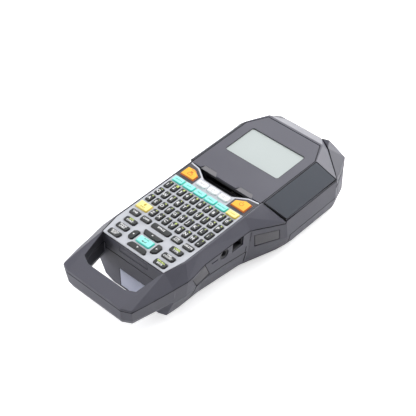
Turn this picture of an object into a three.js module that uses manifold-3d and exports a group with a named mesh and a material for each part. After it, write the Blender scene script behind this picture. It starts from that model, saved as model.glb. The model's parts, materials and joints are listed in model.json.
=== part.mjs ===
// Handheld keyboard label maker: faceted head with a display, tapering body with
// 66 keys, and a loop handle. Millimetres, +Z up, +Y towards the head, +X the
// side with the sockets. The origin is the bottom centre of the bounding box.
import * as THREE from 'three';
import { ConvexGeometry } from 'three/addons/geometries/ConvexGeometry.js';
import { mergeVertices } from 'three/addons/utils/BufferGeometryUtils.js';
import Module from 'manifold-3d';

const wasm = await Module();
wasm.setup();

// ---- driving dimensions ----
const gap = 0.35;             // clearance between neighbouring pieces
const wallThick = 2.4;        // moulded wall of the casings
const farOut = 90;            // half-size of a cutter that reaches past everything

const topZ = 73;              // plane of the display panel and of the keypad
const creaseZ = 60;           // fold between the slanted rim and the side wall
const baseZ = 1.5;            // underside of the casing; the feet reach down to 0
const frontY = -101.5;        // wall behind the handle opening
const handleY = -154.6;       // front of the handle
const rearY = 154.6;          // rear face of the head
const headHalf = 66.5;        // half-width of the head
const headSeamZ = 24.8;       // seam between the head's wall and the cassette lid
const panelZ = 51.5;          // lower edge of the head's slanted side panels

const overlayThick = 1.2;
const keyRise = 1.5;          // height of a key above the overlay
const keyFoot = 68.3;         // underside of a key, above the dome sheet
const letterPitch = 8.82;     // across a row of letter keys
const keySize = [6.6, 10.5];
const keyGap = 0.3;
const keyTaper = 0.7;         // how far the top of a key is drawn in

// ---- geometry helpers ----
function toSolid(geometry) {
  const bare = geometry.index ? geometry.toNonIndexed() : geometry.clone();
  bare.deleteAttribute('normal');
  bare.deleteAttribute('uv');
  const merged = mergeVertices(bare, 1e-4);
  const vertProperties = new Float32Array(merged.attributes.position.array);
  const triVerts = new Uint32Array(merged.index.array);
  return new wasm.Manifold(new wasm.Mesh({ numProp: 3, vertProperties, triVerts }));
}

function toGeometry(solid) {
  const mesh = solid.getMesh();
  const geometry = new THREE.BufferGeometry();
  geometry.setAttribute('position', new THREE.BufferAttribute(mesh.vertProperties, 3));
  geometry.setIndex(new THREE.BufferAttribute(mesh.triVerts, 1));
  return geometry;
}

const joinAll = (solids) => solids.reduce((sum, solid) => sum.add(solid));
const cutAll = (solid, cutters) => cutters.reduce((rest, cutter) => rest.subtract(cutter), solid);
const mirrorX = (points) => points.map(([x, ...others]) => [-x, ...others]);
const bothSides = (points) => [...points, ...mirrorX(points)];
const hull = (points) => toSolid(new ConvexGeometry(points.map((p) => new THREE.Vector3(...p))));

function box([x0, x1], [y0, y1], [z0, z1]) {
  const geometry = new THREE.BoxGeometry(x1 - x0, y1 - y0, z1 - z0);
  return toSolid(geometry.translate((x0 + x1) / 2, (y0 + y1) / 2, (z0 + z1) / 2));
}

// An outline in the XY plane, raised from z0 to z1. Half outlines are closed by mirroring.
function shapeOf(outline) {
  return new THREE.Shape(outline.map(([x, y]) => new THREE.Vector2(x, y)));
}
const mirrored = (half) => [...half, ...mirrorX(half).reverse()];
function prism(outline, z0, z1) {
  const geometry = new THREE.ExtrudeGeometry(shapeOf(outline), { depth: z1 - z0, bevelEnabled: false });
  return toSolid(geometry.translate(0, 0, z0));
}

// An outline in the YZ plane, carried across the whole width or from x0 to x1.
function across(outline, x0 = -farOut, x1 = farOut) {
  const geometry = new THREE.ExtrudeGeometry(shapeOf(outline), { depth: x1 - x0, bevelEnabled: false });
  const turn = new THREE.Matrix4().makeBasis(
    new THREE.Vector3(0, 1, 0), new THREE.Vector3(0, 0, 1), new THREE.Vector3(1, 0, 0));
  return toSolid(geometry.applyMatrix4(turn).translate(x0, 0, 0));
}

// An outline with every side moved outward by the same distance.
function offsetOutline(outline, by) {
  const area = outline.reduce((sum, [x, y], i) => {
    const [nx, ny] = outline[(i + 1) % outline.length];
    return sum + (x * ny - nx * y) / 2;
  }, 0);
  const side = Math.sign(area);
  return outline.map((point, i) => {
    const before = outline[(i + outline.length - 1) % outline.length];
    const after = outline[(i + 1) % outline.length];
    const normals = [[before, point], [point, after]].map(([a, b]) => {
      const length = Math.hypot(b[0] - a[0], b[1] - a[1]);
      return [side * (b[1] - a[1]) / length, -side * (b[0] - a[0]) / length];
    });
    const dot = 1 + normals[0][0] * normals[1][0] + normals[0][1] * normals[1][1];
    return [point[0] + by * (normals[0][0] + normals[1][0]) / dot,
      point[1] + by * (normals[0][1] + normals[1][1]) / dot];
  });
}

// A round bar lying along X.
function rod(radius, [x0, x1], [y, z], sides = 20) {
  const geometry = new THREE.CylinderGeometry(radius, radius, x1 - x0, sides);
  return toSolid(geometry.rotateZ(Math.PI / 2).translate((x0 + x1) / 2, y, z));
}

const grownBox = (x, y, z, by = gap) => box(
  [x[0] - by, x[1] + by], [y[0] - by, y[1] + by], [z[0] - by, z[1] + by]);

// ---- outer form: cross-sections of the body, half-widths at each level ----
const bodySections = {
  front: { y: frontY, top: 41.4, crease: 54.6, wall: 51.8, wallZ: 38, belly: 42, base: 31, baseZ: 9 },
  bulge: { y: -86, top: 45, crease: 57.2, wall: 54.2, wallZ: 38, belly: 43.5, base: 34, baseZ },
  kink: { y: -78, top: 46.8, crease: 56.7, wall: 54, wallZ: 38, belly: 43.5, base: 34, baseZ },
  waist: { y: -58.6, top: 46.9, crease: 53.7, wall: 52.2, wallZ: 38, belly: 43.5, base: 34, baseZ },
  neck: { y: 4.5, top: 47.1, crease: 55.4, wall: 53.6, wallZ: 33, belly: 49.6, base: 41.5, baseZ },
};
const bellyZ = 14;            // level where the belly turns under

function sectionPoints(s) {
  return [[s.top, s.y, topZ], [s.crease, s.y, creaseZ], [s.wall, s.y, s.wallZ],
    [s.belly, s.y, bellyZ], [s.base, s.y, s.baseZ]];
}

const headNear = [[47.3, 32, topZ], [headHalf, 47.4, panelZ - 3], [headHalf, 50, headSeamZ],
  [63.5, 51, bellyZ], [54.5, 45, baseZ]];
const rimHalf = 48.4;
const rimCorner = [rimHalf, 115, topZ];
const rimFar = [36.4, 140.4, topZ];
const panelFar = [headHalf, 127.5, panelZ + 0.5];
const cornerFold = [39.9, 144.3, 68.4];
const farEdge = [23.5, 154.4, 66.3];
const headRear = [rimCorner, rimFar, panelFar, [rimHalf, 33, topZ], [headHalf, 128, headSeamZ],
  farEdge, [56, 153.6, 47], [56, 153.6, 15], [54, rearY, 44], [54, rearY, 16],
  [64.5, 126, 12], [64.5, 60, 12], [57, 57, baseZ], [57, 140, baseZ], [52, 149, baseZ]];
// The rear corners stand proud of the head's bevel; the left one is lower.
const rearCorner = [panelFar, cornerFold, farEdge, [56, 153.6, 46], [headHalf, 128, 40], [20, 150, 40]];
const rearCornerRight = [...rearCorner, [34, 154.4, 69.6], [56.3, 153.8, 59.3]];
const rearCornerLeft = mirrorX([...rearCorner, [31, 154, 66.4], [50, 152.5, 54.5]]);

const spans = [
  [bodySections.front, bodySections.bulge, bodySections.kink, bodySections.waist].flatMap(sectionPoints),
  [bodySections.waist, bodySections.neck].flatMap(sectionPoints),
  [...sectionPoints(bodySections.neck), ...headNear],
  [...headNear.slice(1), ...headRear],
];

// The same form with its walls moved in by t, for the hollow inside.
const clamp = (value, low, high) => Math.min(Math.max(value, low), high);
const roofZ = 45;             // points above this belong to the roof and move down
function inward(t) {
  return ([x, y, z]) => [x - t * Math.sign(x), clamp(y, frontY + t, rearY - t),
    z > roofZ ? z - t : Math.max(z, baseZ + t)];
}
const envelope = (t) => joinAll([
  ...spans.map((points) => hull(bothSides(points.map(inward(t))))),
  hull(rearCornerRight.map(inward(t))),
  hull(rearCornerLeft.map(inward(t))),
]);

// ---- outer form of the handle ----
const handleTop = [[41.4, frontY, topZ], [35.8, -154, 63], [45.4, -149.2, 62.4], [50.6, -127, 61.3],
  [54.6, frontY, creaseZ]];
const handleSides = [[36.2, handleY, 60.6], [46.2, -149.4, 60.2], [35.4, -153.6, 47], [45, -148.4, 47],
  [53.4, frontY, 42]];
const handleUnder = [[33.2, -150.6, 39.6], [42, -145.6, 39.6], [49, frontY, 37]];
const embed = 1.6;            // how far the handle's arms run into the body's front wall
const armRoots = [[41.4, frontY + embed, topZ], [54.4, frontY + embed, creaseZ], [49, frontY + embed, 37]];
const handleHole = mirrored([[40.4, frontY], [34.6, -132], [24.5, -136.6]]);
const flare = { z: 46, out: 4, under: 35 };    // the opening widens towards the underside

function openingFlare() {
  const wide = offsetOutline(handleHole, flare.out).map(([x, y]) => [x, Math.min(y, frontY)]);
  return hull([...handleHole.map(([x, y]) => [x, y, flare.z]), ...wide.map(([x, y]) => [x, y, flare.under])]);
}
const handle = hull(bothSides([...handleTop, ...handleSides, ...handleUnder, ...armRoots]))
  .subtract(prism(handleHole, 0, topZ + 10)).subtract(openingFlare());

// ---- seams between the casings ----
const partingZ = 59.6;        // seam of the body's upper and lower casings, just under the fold
const partingLine = [[handleY - 5, 60.6], [frontY, partingZ], [4.5, partingZ], [46.4, 46.4],
  [47.4, panelZ - 2.2], [60, panelZ - 2.2]];
const abovePartingBy = (lift) => across([...partingLine.map(([y, z]) => [y, z + lift]),
  [60, 200], [handleY - 5, 200]]);
const headLine = [[46.6, 31.4], [66.6, 47]];         // plan view of the head's near seam
const bodyPlanBy = (back) => prism(mirrored([[farOut, -180], [farOut, 64.8 - back],
  ...headLine.map(([x, y]) => [x, y - back]).reverse()]), 0, 200);

// ---- keypad layout: centres, sizes ----
const overlayOutline = mirrored([[40.7, -101.2], [45.2, -78], [45.2, 29.4], [33.4, 27.6], [18.4, 17.7]]);
const keyRows = [
  { name: 'key_row_numbers', y: -11.2, columns: [0, 1, 2, 3, 4, 5, 6, 7, 8, 9] },
  { name: 'key_row_q', y: -24.4, columns: [0, 1, 2, 3, 4, 5, 6, 7, 8, 9] },
  { name: 'key_row_a', y: -37.5, columns: [0, 1, 2, 3, 4, 5, 6, 7, 8, 9] },
  { name: 'key_row_z', y: -50.6, columns: [2, 3, 4, 5, 6, 7, 8, 9] },
];
const columnX = (column) => (column - 4.5) * letterPitch;

const rectangle = (x, y, w, h, corner = 1) => [
  [x + w / 2 - corner, y - h / 2], [x + w / 2, y - h / 2 + corner],
  [x + w / 2, y + h / 2 - corner], [x + w / 2 - corner, y + h / 2],
  [x - w / 2 + corner, y + h / 2], [x - w / 2, y + h / 2 - corner],
  [x - w / 2, y - h / 2 + corner], [x - w / 2 + corner, y - h / 2]];

const dark = 0x2b2d30;
const teal = 0x6ff0dc;
const yellow = 0xfff08a;
const orange = 0xffbf3f;
const white = 0xf1f2f4;
const functionPitch = 14.5;
const sideKeyX = 30.6;
const sideKeyRows = [-73.6, -84.4, -95.3];

const singleKeys = {};
function addKey(name, outline, color) {
  singleKeys[name] = { outline, color };
}
const orangeOutline = [[25.2, 8.6], [42.8, 8.6], [42.8, 21.4], [34.6, 22.3], [25.2, 16.6]];
addKey('print_key', mirrorX(orangeOutline).reverse(), orange);
addKey('power_key', orangeOutline, orange);
[-1, 0, 1].forEach((place, i) =>
  addKey(`menu_key_${i + 1}`, rectangle(place * functionPitch, 11.4, 13.2, 7.8, 1.4), white));
[-2.5, -1.5, -0.5, 0.5, 1.5].forEach((place, i) =>
  addKey(`function_key_${i + 1}`, rectangle(place * functionPitch, -0.3, 13.2, 7.8), teal));
addKey('cancel_key', rectangle(2.5 * functionPitch, -0.3, 13.2, 7.8), yellow);
addKey('shift_key', rectangle(columnX(0.5), -50.4, 15.6, 10.5), yellow);
[-35.6, -20.6, 20.6, 35.6].forEach((x, i) =>
  addKey(`edit_key_${i + 1}`, rectangle(x, -62.6, 12, 7.1, 1.4), dark));
addKey('space_key', rectangle(0, -62.6, 23.6, 7.1, 1.4), dark);
sideKeyRows.forEach((y, i) => {
  addKey(`left_key_${i + 1}`, rectangle(-sideKeyX, y, 15, 6.9, 1.4), dark);
  addKey(`right_key_${i + 1}`, rectangle(sideKeyX, y, 15, 6.9, 1.4), dark);
});
addKey('enter_key', rectangle(0, -84.8, 18.2, 9.4), teal);
addKey('arrow_up_key', mirrored([[7.6, -77.8], [9.4, -77.4], [12, -73], [11.4, -71.5]]), dark);
addKey('arrow_down_key', mirrored([[11.2, -98.2], [12, -96.8], [9.6, -92.6], [7.8, -91.8]]), dark);
const arrowSide = [[11.8, -90.4], [13.4, -91.6], [16.2, -91.2], [18.9, -88.6], [18.9, -81], [16.2, -78.4],
  [13.4, -78], [11.8, -79.2]];
addKey('arrow_right_key', arrowSide, dark);
addKey('arrow_left_key', mirrorX(arrowSide).reverse(), dark);

// A key stands straight and draws in above the overlay.
function keySolid(outline) {
  const shoulder = topZ + 0.4;
  const narrow = offsetOutline(outline, -keyTaper);
  const at = (points, z) => points.map(([x, y]) => [x, y, z]);
  return hull([...at(outline, keyFoot), ...at(outline, shoulder), ...at(narrow, topZ + keyRise)]);
}
const keyHole = (outline) => prism(offsetOutline(outline, keyGap), topZ - 5, topZ + 5);
const rowOutlines = ({ y, columns }) =>
  columns.map((column) => rectangle(columnX(column), y, keySize[0], keySize[1], 1.1));

// A row of letter keys is one rubber moulding: the keys on a thin web under the overlay.
function keyRow(row) {
  const web = box([columnX(row.columns[0]), columnX(9)], [row.y - 3.6, row.y + 3.6], [keyFoot, keyFoot + 1]);
  return joinAll([web, ...rowOutlines(row).map(keySolid)]);
}

const keypadOverlay = () => cutAll(prism(overlayOutline, topZ - overlayThick, topZ), [
  ...Object.values(singleKeys).map((key) => keyHole(key.outline)),
  ...keyRows.flatMap(rowOutlines).map(keyHole)]);

// ---- display ----
const fasciaOutline = mirrored([[46, 30.2], [46.2, 114.7], [34.7, 137]]);
const fasciaThick = 2.5;
const lcdWindow = { half: 35.5, y: [67.8, 113.1], corner: 2 };
const windowOutline = (by) => offsetOutline(rectangle(0, (lcdWindow.y[0] + lcdWindow.y[1]) / 2,
  lcdWindow.half * 2, lcdWindow.y[1] - lcdWindow.y[0], lcdWindow.corner), by);
const scoop = [[13, 30], [34.5, 30], [32, 34.6], [16, 34.6]];

function displayFascia() {
  const scoopCut = (side) => hull([
    ...scoop.slice(0, 2).flatMap(([x, y]) => [[side * x, y, topZ - 1.8], [side * x, y, topZ + 1]]),
    ...scoop.slice(2).flatMap(([x, y]) => [[side * x, y, topZ - 0.05], [side * x, y, topZ + 1]])]);
  return cutAll(prism(fasciaOutline, topZ - fasciaThick, topZ), [
    prism(windowOutline(0), topZ - 5, topZ + 5), scoopCut(1), scoopCut(-1)]);
}
const windowPane = () => prism(windowOutline(-0.3), topZ - fasciaThick, topZ - 1);
const fasciaPocket = () => prism(offsetOutline(fasciaOutline, gap), topZ - fasciaThick - gap, topZ + 5);
const lcdBox = [[-37.5, 37.5], [66.4, 114.6], [60.5, 70]];

// ---- label exit guide: the dark trough between the keypad and the display ----
const guideOutline = mirrored([[19, 16.6], [34.6, 27.2], [34.6, 33]]);
function exitGuide() {
  const trough = prism(mirrored([[18.2, 17.9], [33.3, 28], [33.3, 31.6]]), 57.5, topZ);
  const labelSlot = box([-28, 28], [31, 34], [60, 66]);
  return cutAll(prism(guideOutline, 56, topZ - fasciaThick - gap), [trough, labelSlot]);
}

// ---- feet ----
const footSize = [11, 9];
const feet = { front: [26, -86], rear: [43, 139] };
const footPads = ([x, y]) => [x, -x].map((side) => prism(rectangle(side, y, ...footSize, 1.5), 0, baseZ + 1));

// ---- casings ----
const outerForm = envelope(0);
const hollowForm = envelope(wallThick);
const lidSide = [[54.5, -5], [160, -5], [160, 44], [135.6, 44], [135.6, headSeamZ], [54.5, headSeamZ]];
const coverSide = [[-71.5, -5], [1.5, -5], [1.5, 31.4], [-26.6, 36.4], [-52, 39.2], [-71.5, 38.4]];
const regionBy = (outline, by) => across(offsetOutline(outline, by));

// How far out the wall lies at (y, z), between two neighbouring cross-sections.
const mix = (a, b, k) => a + (b - a) * k;
const shoulderSection = { y: 47.4, crease: headHalf, creaseZ: panelZ - 3, wall: headHalf, wallZ: headSeamZ,
  belly: 63.5 };
function wallAt(y, z) {
  const { bulge, kink, waist, neck } = bodySections;
  const sections = [bulge, kink, waist, neck, shoulderSection];
  const next = sections.findIndex((section) => section.y > y);
  const [from, to] = [sections[next - 1], sections[next]].map((section) => ({ creaseZ, ...section }));
  const k = (y - from.y) / (to.y - from.y);
  const at = (word) => mix(from[word], to[word], k);
  const above = (z - at('wallZ')) / (at('creaseZ') - at('wallZ'));
  const below = (at('wallZ') - z) / (at('wallZ') - bellyZ);
  return z > at('wallZ') ? mix(at('wall'), at('crease'), above) : mix(at('wall'), at('belly'), below);
}

// The cutter of a shallow recess in a side wall; side is 1 or -1.
function recessCut(outline, depth, side) {
  return hull(outline.map(([y, z]) => [wallAt(y, z), y, z]).flatMap(([x, y, z]) => [
    [side * (x + 3), y, z], [side * (x - depth), y, z]]));
}
const recessDepth = 0.9;
const gripRecess = [[-58.2, 58.4], [-51.2, 40.8], [-71, 39.4], [-78.3, 54.8]];
const shoulderRecess = [[10.1, 50.2], [40, 41.4], [40.8, 27.8], [11.4, 33]];
const sideRecesses = [gripRecess, shoulderRecess].flatMap((outline) =>
  [1, -1].map((side) => recessCut(outline, recessDepth, side)));

// Moulded lines: at the rear of the socket plate, on the right only, and ahead of the shoulder recesses.
const plateLine = [[-1.8, 32.2], [-0.4, 34], [0.3, 40.3]];
const shoulderLine = [[4.7, 44], [5.9, 56]];
const lineSize = { width: 0.8, depth: 0.6 };
const lineCuts = (points, side) => points.slice(1).map(([y, z], i) => {
  const [fromY, fromZ] = points[i];
  return recessCut([[fromY, fromZ], [y, z], [y + lineSize.width, z], [fromY + lineSize.width, fromZ]],
    lineSize.depth, side);
});

const apron = [[-38.4, 38.4], [frontY, frontY + 2.2], [53, 60]];
const usb = { x: [42, 53.3], y: [-19.8, -5], z: [47.2, 59] };
const jack = { x: [41, 53], at: [-31.6, 53.3], radius: 5.4, bore: 3.3 };
const lockSlot = [[52.2, 60], [-48.8, -40.8], [52.1, 53.4]];
const ratingPlate = { x: [-20.5, 20.5], z: [11.5, 35.5], depth: 0.9, thick: 0.4 };

function keyboardCasing() {
  const shell = outerForm.subtract(hollowForm).add(handle);
  const keyWindow = prism(mirrored([[39, -99.4], [43.8, -77.6], [43.8, 40]]), topZ - 8, topZ + 5);
  const guideRoom = prism(offsetOutline(guideOutline, gap), 50, topZ + 5);
  return shell.intersect(abovePartingBy(0)).intersect(bodyPlanBy(0)).add(box(...apron))
    .subtract(prism(offsetOutline(overlayOutline, gap), topZ - overlayThick - gap, topZ + 5))
    .subtract(keyWindow).subtract(guideRoom).subtract(fasciaPocket())
    .subtract(box([-18.7, 18.7], [frontY - 1, frontY + 0.4], [61, 68]));
}

const headOuter = [[rimHalf, 33, topZ], rimCorner, rimFar, panelFar, cornerFold, farEdge,
  [headHalf, 47.6, panelZ], [headHalf, 47.6, panelZ - 1.9], [headHalf, 127.5, panelZ - 1.9],
  [28, 152, 60], [28, 152, panelZ - 1.9]];
const headRoofDrop = 5;       // underside of the head's top plate, below the top plane

function growFromCentre(points, by) {
  const centre = [0, 92, 62];
  return points.map((p) => p.map((value, i) => value + by * Math.sign(value - centre[i])));
}

function sidePanelCorners(by, sink) {
  const slope = new THREE.Vector3(topZ - panelZ, 0, headHalf - rimHalf).normalize();
  const rim = rimHalf + 0.1 - by;
  const low = headHalf - 0.1 + by;
  const heightAt = (x) => topZ - (x - rimHalf) * (topZ - panelZ) / (headHalf - rimHalf);
  const corners = [[rim, 33.6 - by], [low - 0.5, 47.6 - by], [low - 0.5, 126.6 + by], [rim, 115 + by]];
  return corners.flatMap(([x, y]) => {
    const inner = [x - slope.x * sink, y, heightAt(x) - slope.z * sink];
    const outer = by > 0 ? [x + slope.x * 3, y, heightAt(x) + slope.z * 3] : [x, y, heightAt(x)];
    return [inner, outer];
  });
}
const panelSink = 2;
const sidePanel = (side) => hull(sidePanelCorners(0, panelSink).map(([x, y, z]) => [side * x, y, z]));
const panelPocket = (side) => hull(
  sidePanelCorners(gap, panelSink + gap).map(([x, y, z]) => [side * x, y, z]));

function headCasing() {
  const outer = hull(bothSides(headOuter)).intersect(outerForm);
  const hollow = hull(bothSides(headOuter.map(([x, y, z]) => [x - 5, clamp(y, 20, 148),
    z > 55 ? z - headRoofDrop : z - 3])));
  return cutAll(outer, [hollow, bodyPlanBy(-gap),
    fasciaPocket(), grownBox(...lcdBox), prism(mirrored([[20, 20], [36, 26], [36, 34]]), 50, topZ + 5),
    panelPocket(1), panelPocket(-1)]);
}

function lowerCasing() {
  const headRoom = hull(bothSides(growFromCentre(headOuter, gap)));
  const shell = outerForm.subtract(hollowForm).add(handle);
  const jackHole = rod(jack.radius + gap, [45, 60], jack.at);
  return cutAll(shell, [
    abovePartingBy(-gap), headRoom,
    regionBy(lidSide, gap), regionBy(coverSide, gap), grownBox(...apron),
    grownBox([45, 60], usb.y, usb.z), jackHole,
    box(...lockSlot),
    box(ratingPlate.x, [frontY - 1, frontY + ratingPlate.depth], ratingPlate.z),
    ...sideRecesses, ...lineCuts(plateLine, 1), ...lineCuts(shoulderLine, 1), ...lineCuts(shoulderLine, -1),
  ]).add(joinAll(footPads(feet.front)));
}

// The lid's latch: a thumb pad in a pocket, a stem through a slot and a plate behind the wall.
const latch = { half: 9, z: [33, 39], stemHalf: 3, stemZ: [34, 38], travel: 3, clear: 0.4 };
const padBack = rearY - 1.2;
const plateY = [rearY - wallThick - 1.8, rearY - wallThick - 0.4];
function latchHoles() {
  const { half, z, stemHalf, stemZ, travel, clear } = latch;
  return [
    box([-half - clear, half + clear], [padBack - clear, rearY + 5], [z[0] - travel - clear, z[1] + clear]),
    box([-stemHalf - clear, stemHalf + clear], [padBack - 5, rearY],
      [stemZ[0] - travel - clear, stemZ[1] + clear]),
  ];
}
const lidLatch = () => joinAll([
  box([-latch.half, latch.half], [padBack, rearY - 0.2], latch.z),
  box([-latch.stemHalf, latch.stemHalf], [plateY[0], rearY - 1], latch.stemZ),
  box([-latch.half + 3, latch.half - 3], plateY, [latch.z[0] - 1, latch.z[1] + 1])]);

function cassetteLid() {
  const shell = outerForm.subtract(hollowForm).intersect(regionBy(lidSide, 0));
  return cutAll(shell, latchHoles()).add(joinAll(footPads(feet.rear)));
}
const batteryCover = () => outerForm.subtract(hollowForm).intersect(regionBy(coverSide, 0));

// ---- inside: power, board, cassette, print works ----
const battery = [[-24, 24], [-66, -5], [6, 38]];
const boardOutline = mirrored([[37.2, -96.4], [42, -76], [42, 24], [37, 24], [20, 14]]);
const gearModule = 1;
const gearX = [27.5, 31.5];
const platen = { teeth: 16, at: [44, 56], radius: 5 };
const meshPoint = ([y, z], teethA, teethB, degrees) => {
  const distance = (teethA + teethB) * gearModule / 2;
  const angle = THREE.MathUtils.degToRad(degrees);
  return [y + distance * Math.cos(angle), z + distance * Math.sin(angle)];
};
const idlerAngle = -50;
const pinionAngle = -60;
const idler = { teeth: 18, at: meshPoint(platen.at, platen.teeth, 18, idlerAngle) };
const pinion = { teeth: 10, at: meshPoint(idler.at, idler.teeth, 10, pinionAngle) };

// A spur gear with straight-sided teeth; firstTooth is the direction of tooth 0 in degrees.
function gear({ teeth, at }, firstTooth) {
  const pitchRadius = teeth * gearModule / 2;
  const tip = pitchRadius + 0.7;
  const root = pitchRadius - 1.1;
  const step = 2 * Math.PI / teeth;
  const start = THREE.MathUtils.degToRad(firstTooth);
  const outline = [];
  for (let i = 0; i < teeth; i += 1) {
    const middle = start + i * step;
    [[-0.3, root], [-0.12, tip], [0.12, tip], [0.3, root]].forEach(([turn, radius]) => outline.push([
      at[0] + radius * Math.cos(middle + turn * step), at[1] + radius * Math.sin(middle + turn * step)]));
  }
  return across(outline, gearX[0], gearX[1]);
}

const shaftRadius = 1.5;
function platenRoller() {
  return joinAll([rod(platen.radius, [-26, 26], platen.at), rod(shaftRadius, [-30, 34], platen.at, 12),
    gear(platen, idlerAngle)]);
}
const idlerStep = 360 / idler.teeth;
const idlerGear = () => gear(idler, idlerAngle + 180 + idlerStep / 2)
  .add(rod(shaftRadius, [25.5, 34], idler.at, 12));
const pinionStep = 360 / pinion.teeth;
const idlerToothAt = (() => {
  const first = idlerAngle + 180 + idlerStep / 2;
  return first + Math.round((pinionAngle - first) / idlerStep) * idlerStep;
})();
const pinionFirst = pinionAngle + 180 + pinionStep / 2
  - (idlerToothAt - pinionAngle) * idler.teeth / pinion.teeth;
const motorPinion = () => gear(pinion, pinionFirst).add(rod(shaftRadius, [26.5, 33.2], pinion.at, 12));
const driveMotor = () => rod(8.4, [33.6, 58], pinion.at, 24)
  .subtract(rod(shaftRadius + gap, [30, 36], pinion.at, 12));

const printHead = () => joinAll([
  box([-26, 26], [50.4, 53.4], [49, 62]), box([-22, 22], [53, 57.5], [58.5, 62])]);
const cutterBlade = () => hull([[-25, 34.2, 48], [25, 34.2, 48], [-25, 35.2, 48], [25, 35.2, 48],
  [-25, 35.2, 57.4], [25, 35.2, 59], [-25, 34.9, 57.8], [25, 34.9, 59.4]]);

const cassette = { x: [-25.4, 25.4], y: [68, 130], z: [7, 40] };
const spool = { at: [107, 23.5], radius: 14.6, half: 21.5 };
const ribbon = { at: [80.5, 23.5], radius: 7.4, half: 21.5 };
function cassetteShell() {
  const wall = 1.6;
  const inside = [[cassette.x[0] + wall, cassette.x[1] - wall], [cassette.y[0] + wall, cassette.y[1] - wall],
    [cassette.z[0] - 1, cassette.z[1] - wall]];
  const labelGap = box([-21, 21], [cassette.y[0] - 1, cassette.y[0] + 3], [28, 34]);
  const bearings = [spool, ribbon].map(({ at }) => rod(3 + gap, [-30, 30], at, 16));
  return cutAll(box(cassette.x, cassette.y, cassette.z), [box(...inside), labelGap, ...bearings]);
}
const spoolSolid = ({ at, radius, half }) => rod(radius, [-half, half], at, 28)
  .add(rod(3, [cassette.x[0] + 0.2, cassette.x[1] - 0.2], at, 16));

function usbSocket() {
  return box(usb.x, usb.y, usb.z).subtract(
    box([usb.x[0] + 1.5, 60], [usb.y[0] + 1.3, usb.y[1] - 1.3], [usb.z[0] + 1.3, usb.z[1] - 1.3]));
}
const dcJack = () => rod(jack.radius, jack.x, jack.at, 24)
  .subtract(rod(jack.bore, [jack.x[0] + 2, 60], jack.at, 20));

// ---- materials and assembly ----
const casingLook = { color: 0x65656c, roughness: 0.55, metalness: 0 };
const looks = {
  casing: casingLook,
  fascia: { color: 0x6c6b73, roughness: 0.5, metalness: 0 },
  panel: { color: 0x4e545e, roughness: 0.5, metalness: 0 },
  overlay: { color: 0xd3d6dc, roughness: 0.4, metalness: 0.1 },
  glass: { color: 0xd5dcdc, roughness: 0.1, metalness: 0 },
  black: { color: 0x18191b, roughness: 0.5, metalness: 0 },
  rubber: { color: 0x242528, roughness: 0.85, metalness: 0 },
  board: { color: 0x1d5a3a, roughness: 0.6, metalness: 0 },
  steel: { color: 0xb4b7bb, roughness: 0.35, metalness: 1 },
  nylon: { color: 0xe6e2d4, roughness: 0.5, metalness: 0 },
  label: { color: 0xb3b9d0, roughness: 0.4, metalness: 0 },
  paper: { color: 0xf6f6f2, roughness: 0.8, metalness: 0 },
};

const labelMaker = new THREE.Group();
labelMaker.name = 'label_maker';
function place(name, solid, look) {
  const mesh = new THREE.Mesh(toGeometry(solid), new THREE.MeshStandardMaterial(look));
  mesh.name = name;
  labelMaker.add(mesh);
}

place('keyboard_casing', keyboardCasing(), looks.casing);
place('head_casing', headCasing(), looks.casing);
place('lower_casing', lowerCasing(), looks.casing);
place('cassette_lid', cassetteLid(), looks.casing);
place('battery_cover', batteryCover(), looks.casing);
place('lid_latch', lidLatch(), looks.black);
place('side_panel_left', sidePanel(-1), looks.panel);
place('side_panel_right', sidePanel(1), looks.panel);
place('display_fascia', displayFascia(), looks.fascia);
place('lcd_window', windowPane(), looks.glass);
place('lcd_module', box(...lcdBox), looks.black);
place('keypad_overlay', keypadOverlay(), looks.overlay);
place('exit_guide', exitGuide(), looks.black);
place('rating_plate', box(ratingPlate.x.map((x) => x - Math.sign(x) * gap),
  [frontY + 0.1, frontY + 0.1 + ratingPlate.thick],
  [ratingPlate.z[0] + gap, ratingPlate.z[1] - gap]), looks.label);

keyRows.forEach((row) => place(row.name, keyRow(row), { ...looks.rubber, color: dark }));
Object.entries(singleKeys).forEach(([name, { outline, color }]) =>
  place(name, keySolid(outline), { ...looks.rubber, color }));

place('main_board', prism(boardOutline, 65, 66.6), looks.board);
place('battery_pack', box(...battery), looks.black);
place('tape_cassette', cassetteShell(), looks.nylon);
place('label_spool', spoolSolid(spool), looks.paper);
place('ribbon_spool', spoolSolid(ribbon), looks.black);
place('platen_roller', platenRoller(), looks.rubber);
place('idler_gear', idlerGear(), looks.nylon);
place('motor_pinion', motorPinion(), looks.steel);
place('drive_motor', driveMotor(), looks.steel);
place('print_head', printHead(), looks.steel);
place('cutter_blade', cutterBlade(), looks.steel);
place('usb_socket', usbSocket(), looks.black);
place('dc_jack', dcJack(), looks.black);

export default labelMaker;
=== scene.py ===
import json
import math

import bmesh
import bpy
from mathutils import Matrix, Vector
from mathutils.bvhtree import BVHTree


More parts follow.
